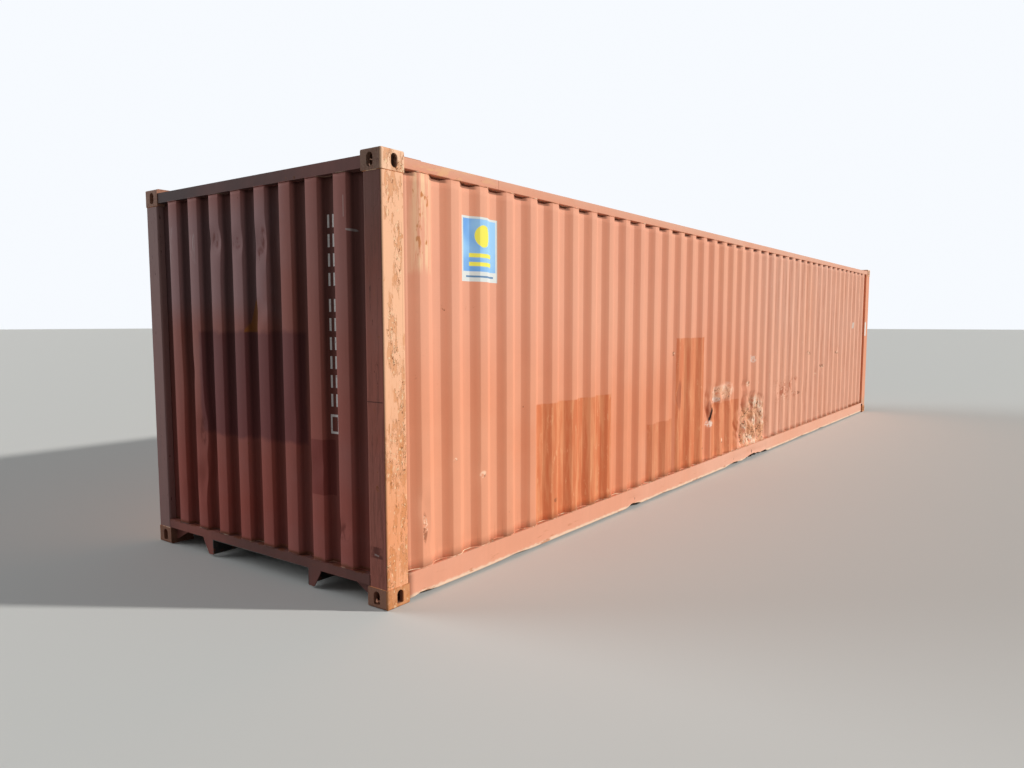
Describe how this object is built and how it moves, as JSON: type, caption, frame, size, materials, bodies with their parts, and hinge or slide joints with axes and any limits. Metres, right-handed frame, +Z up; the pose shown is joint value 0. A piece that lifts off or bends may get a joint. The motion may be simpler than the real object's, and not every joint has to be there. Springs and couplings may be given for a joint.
{
  "type": "shipping container, 40 ft dry freight",
  "caption": "Closed steel freight box with corrugated walls, corner castings, gooseneck tunnel and double doors with locking bars.",
  "frame": {"origin": "middle of the footprint, at the level of the bottom fittings' lower faces", "axes": "+X towards the doors, +Y to the right side seen from the doors towards the front, +Z up"},
  "size_m": [12.192, 2.438, 2.591],
  "materials": {
    "side_paint": "faded brick orange paint with fresher patches, chips and rust",
    "end_paint": "brick orange paint with dull patches and rust at the welds",
    "fitting_paint": "worn ochre paint over rusty castings",
    "roof_paint": "faded brick orange paint with dirt and rust",
    "under_paint": "black underbody coating with rust",
    "door_paint": "faded brick orange paint with chips and rust",
    "door_gear": "dull galvanised steel with rust stains",
    "gasket": "black rubber",
    "plywood": "marine plywood with scuffs"
  },
  "bodies": {
    "root": {"bottom_fitting_front_left": "fitting_paint", "bottom_fitting_front_right": "fitting_paint", "bottom_fitting_rear_left": "fitting_paint", "bottom_fitting_rear_right": "fitting_paint", "top_fitting_front_left": "fitting_paint", "top_fitting_front_right": "fitting_paint", "top_fitting_rear_left": "fitting_paint", "top_fitting_rear_right": "fitting_paint", "front_post_left": "end_paint", "front_post_right": "end_paint", "front_top_rail": "end_paint", "front_sill": "end_paint", "tunnel_tongues": "end_paint", "front_wall": "end_paint", "rear_post_left": "side_paint", "rear_post_right": "side_paint", "top_rail_left": "side_paint", "top_rail_right": "side_paint", "bottom_rail_left": "side_paint", "bottom_rail_right": "side_paint", "side_wall_left": "side_paint", "side_wall_right": "side_paint", "roof": "roof_paint", "roof_corner_plates": "roof_paint", "roof_end_plates": "roof_paint", "floor_boards": "plywood", "crossmembers": "under_paint", "tunnel_roof": "under_paint", "tunnel_sides": "under_paint", "outriggers_left": "under_paint", "outriggers_right": "under_paint", "door_header": "door_paint", "door_sill": "door_paint", "door_frame_left": "door_paint", "door_frame_right": "door_paint", "door_panel_left": "door_paint", "door_panel_right": "door_paint", "door_gaskets": "gasket", "door_hinges": "door_gear", "locking_bars_left": "door_gear", "locking_bars_right": "door_gear", "bar_brackets": "door_gear", "cam_keepers": "door_gear", "door_handles": "door_gear", "handle_catches": "door_gear"}
  },
  "joints": []
}
